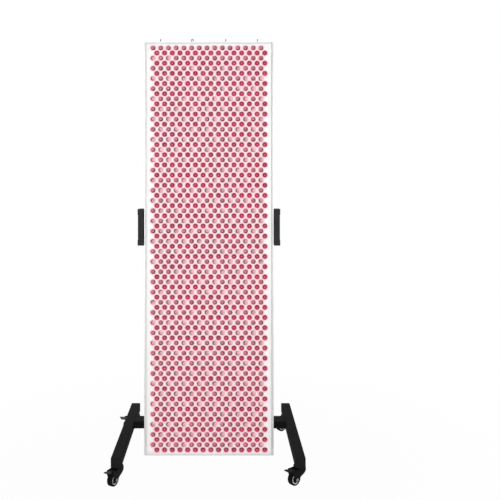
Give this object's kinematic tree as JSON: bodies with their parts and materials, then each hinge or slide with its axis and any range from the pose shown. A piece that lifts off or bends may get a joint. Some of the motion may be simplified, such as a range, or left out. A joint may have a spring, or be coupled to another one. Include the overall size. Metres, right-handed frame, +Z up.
{
  "type": "red light therapy panel",
  "caption": "Tall white light therapy panel with staggered red and near-infrared lamps, tilting on a black stand with braked castors.",
  "frame": {"origin": "on the floor, under the middle of the plan of the unit as it stands, castors included", "axes": "+X to the right as a viewer faces the lamps, the lamps face -Y, +Z up"},
  "size_m": [0.7856, 0.6458, 1.7145],
  "materials": {
    "white_powder_coat": "white powder coat on aluminium sheet",
    "lens_acrylic": "clear moulded acrylic over lit lamps",
    "lamp_board": "white solder mask",
    "bare_aluminium": "extruded and folded, bare",
    "zinc_steel": "zinc plated",
    "black_plastic": "moulded, fine grain",
    "castor_rubber": "moulded tread on a grey rim",
    "black_pressed_steel": "pressed and painted black",
    "black_powder_coat": "fine-textured black powder coat"
  },
  "bodies": {
    "stand": {"arm_left": "black_powder_coat", "arm_right": "black_powder_coat", "tilt_bolt_left": "zinc_steel", "tilt_bolt_right": "zinc_steel", "yoke": "black_powder_coat", "mast": "black_powder_coat", "mast_cap": "black_plastic", "cross_beam": "black_powder_coat", "leg_left": "black_powder_coat", "leg_right": "black_powder_coat", "leg_cap_front_left": "black_plastic", "leg_cap_rear_left": "black_plastic", "leg_cap_front_right": "black_plastic", "leg_cap_rear_right": "black_plastic"},
    "panel": {"rail_left": "white_powder_coat", "rail_right": "white_powder_coat", "rail_top": "white_powder_coat", "rail_bottom": "white_powder_coat", "front_plate": "white_powder_coat", "lens_sheet_1": "lens_acrylic", "led_board_1": "lamp_board", "lens_sheet_2": "lens_acrylic", "led_board_2": "lamp_board", "heat_sink": "bare_aluminium", "rear_cover": "white_powder_coat", "fan_frame_1": "black_plastic", "fan_guard_1": "zinc_steel", "fan_frame_2": "black_plastic", "fan_guard_2": "zinc_steel", "fan_frame_3": "black_plastic", "fan_guard_3": "zinc_steel", "lamp_driver_1": "bare_aluminium", "lamp_driver_2": "bare_aluminium", "power_inlet": "black_plastic", "switch_block": "black_plastic", "lifting_eye_1": "zinc_steel", "lifting_eye_2": "zinc_steel", "lifting_eye_3": "zinc_steel", "lifting_eye_4": "zinc_steel"},
    "castor_front_left": {"castor_fork_front_left": "black_pressed_steel", "castor_axle_front_left": "zinc_steel"},
    "wheel_front_left": {"castor_wheel_front_left": "castor_rubber"},
    "pedal_front_left": {"castor_brake_front_left": "black_pressed_steel"},
    "castor_front_right": {"castor_fork_front_right": "black_pressed_steel", "castor_axle_front_right": "zinc_steel"},
    "wheel_front_right": {"castor_wheel_front_right": "castor_rubber"},
    "pedal_front_right": {"castor_brake_front_right": "black_pressed_steel"},
    "castor_rear_left": {"castor_fork_rear_left": "black_pressed_steel", "castor_axle_rear_left": "zinc_steel"},
    "wheel_rear_left": {"castor_wheel_rear_left": "castor_rubber"},
    "pedal_rear_left": {"castor_brake_rear_left": "black_pressed_steel"},
    "castor_rear_right": {"castor_fork_rear_right": "black_pressed_steel", "castor_axle_rear_right": "zinc_steel"},
    "wheel_rear_right": {"castor_wheel_rear_right": "castor_rubber"},
    "pedal_rear_right": {"castor_brake_rear_right": "black_pressed_steel"},
    "fan_1": {"fan_rotor_1": "black_plastic"},
    "fan_2": {"fan_rotor_2": "black_plastic"},
    "fan_3": {"fan_rotor_3": "black_plastic"},
    "switch_red": {"rocker_red": "black_plastic"},
    "switch_infrared": {"rocker_infrared": "black_plastic"}
  },
  "joints": [
    {"name": "panel_tilt", "type": "hinge", "parent": "stand", "child": "panel", "pos_m": [0.02166, -0.11114, 0.961], "axis": [1, 0, 0], "range_deg": [-15, 7]},
    {"name": "swivel_front_left", "type": "hinge", "parent": "stand", "child": "castor_front_left", "pos_m": [-0.32434, -0.25615, 0.07], "axis": [0, 0, 1], "continuous": true},
    {"name": "roll_front_left", "type": "hinge", "parent": "castor_front_left", "child": "wheel_front_left", "pos_m": [-0.33706, -0.28109, 0.025], "axis": [0.891, -0.454, 0], "continuous": true},
    {"name": "brake_front_left", "type": "hinge", "parent": "castor_front_left", "child": "pedal_front_left", "pos_m": [-0.3416, -0.29, 0.0555], "axis": [0.891, -0.454, 0], "range_deg": [0, 14]},
    {"name": "swivel_front_right", "type": "hinge", "parent": "stand", "child": "castor_front_right", "pos_m": [0.36766, -0.25615, 0.07], "axis": [0, 0, 1], "continuous": true},
    {"name": "roll_front_right", "type": "hinge", "parent": "castor_front_right", "child": "wheel_front_right", "pos_m": [0.34559, -0.27338, 0.025], "axis": [0.6157, -0.788, 0], "continuous": true},
    {"name": "brake_front_right", "type": "hinge", "parent": "castor_front_right", "child": "pedal_front_right", "pos_m": [0.33771, -0.27954, 0.0555], "axis": [0.6157, -0.788, 0], "range_deg": [0, 14]},
    {"name": "swivel_rear_left", "type": "hinge", "parent": "stand", "child": "castor_rear_left", "pos_m": [-0.32434, 0.28786, 0.07], "axis": [0, 0, 1], "continuous": true},
    {"name": "roll_rear_left", "type": "hinge", "parent": "castor_rear_left", "child": "wheel_rear_left", "pos_m": [-0.35066, 0.27828, 0.025], "axis": [0.342, -0.9397, 0], "continuous": true},
    {"name": "brake_rear_left", "type": "hinge", "parent": "castor_rear_left", "child": "pedal_rear_left", "pos_m": [-0.36005, 0.27486, 0.0555], "axis": [0.342, -0.9397, 0], "range_deg": [0, 14]},
    {"name": "swivel_rear_right", "type": "hinge", "parent": "stand", "child": "castor_rear_right", "pos_m": [0.36766, 0.28786, 0.07], "axis": [0, 0, 1], "continuous": true},
    {"name": "roll_rear_right", "type": "hinge", "parent": "castor_rear_right", "child": "wheel_rear_right", "pos_m": [0.34391, 0.27302, 0.025], "axis": [0.5299, -0.848, 0], "continuous": true},
    {"name": "brake_rear_right", "type": "hinge", "parent": "castor_rear_right", "child": "pedal_rear_right", "pos_m": [0.33543, 0.26772, 0.0555], "axis": [0.5299, -0.848, 0], "range_deg": [0, 14]},
    {"name": "fan_spin_1", "type": "hinge", "parent": "panel", "child": "fan_1", "pos_m": [0.02166, -0.0938, 0.2985], "axis": [0, 1, 0], "continuous": true},
    {"name": "fan_spin_2", "type": "hinge", "parent": "panel", "child": "fan_2", "pos_m": [0.02166, -0.0938, 0.876], "axis": [0, 1, 0], "continuous": true},
    {"name": "fan_spin_3", "type": "hinge", "parent": "panel", "child": "fan_3", "pos_m": [0.02166, -0.0938, 1.4535], "axis": [0, 1, 0], "continuous": true},
    {"name": "switch_press_red", "type": "hinge", "parent": "panel", "child": "switch_red", "pos_m": [0.10716, -0.08014, 0.226], "axis": [1, 0, 0], "range_deg": [-24, 0]},
    {"name": "switch_press_infrared", "type": "hinge", "parent": "panel", "child": "switch_infrared", "pos_m": [0.12615, -0.08014, 0.226], "axis": [1, 0, 0], "range_deg": [-24, 0]}
  ]
}
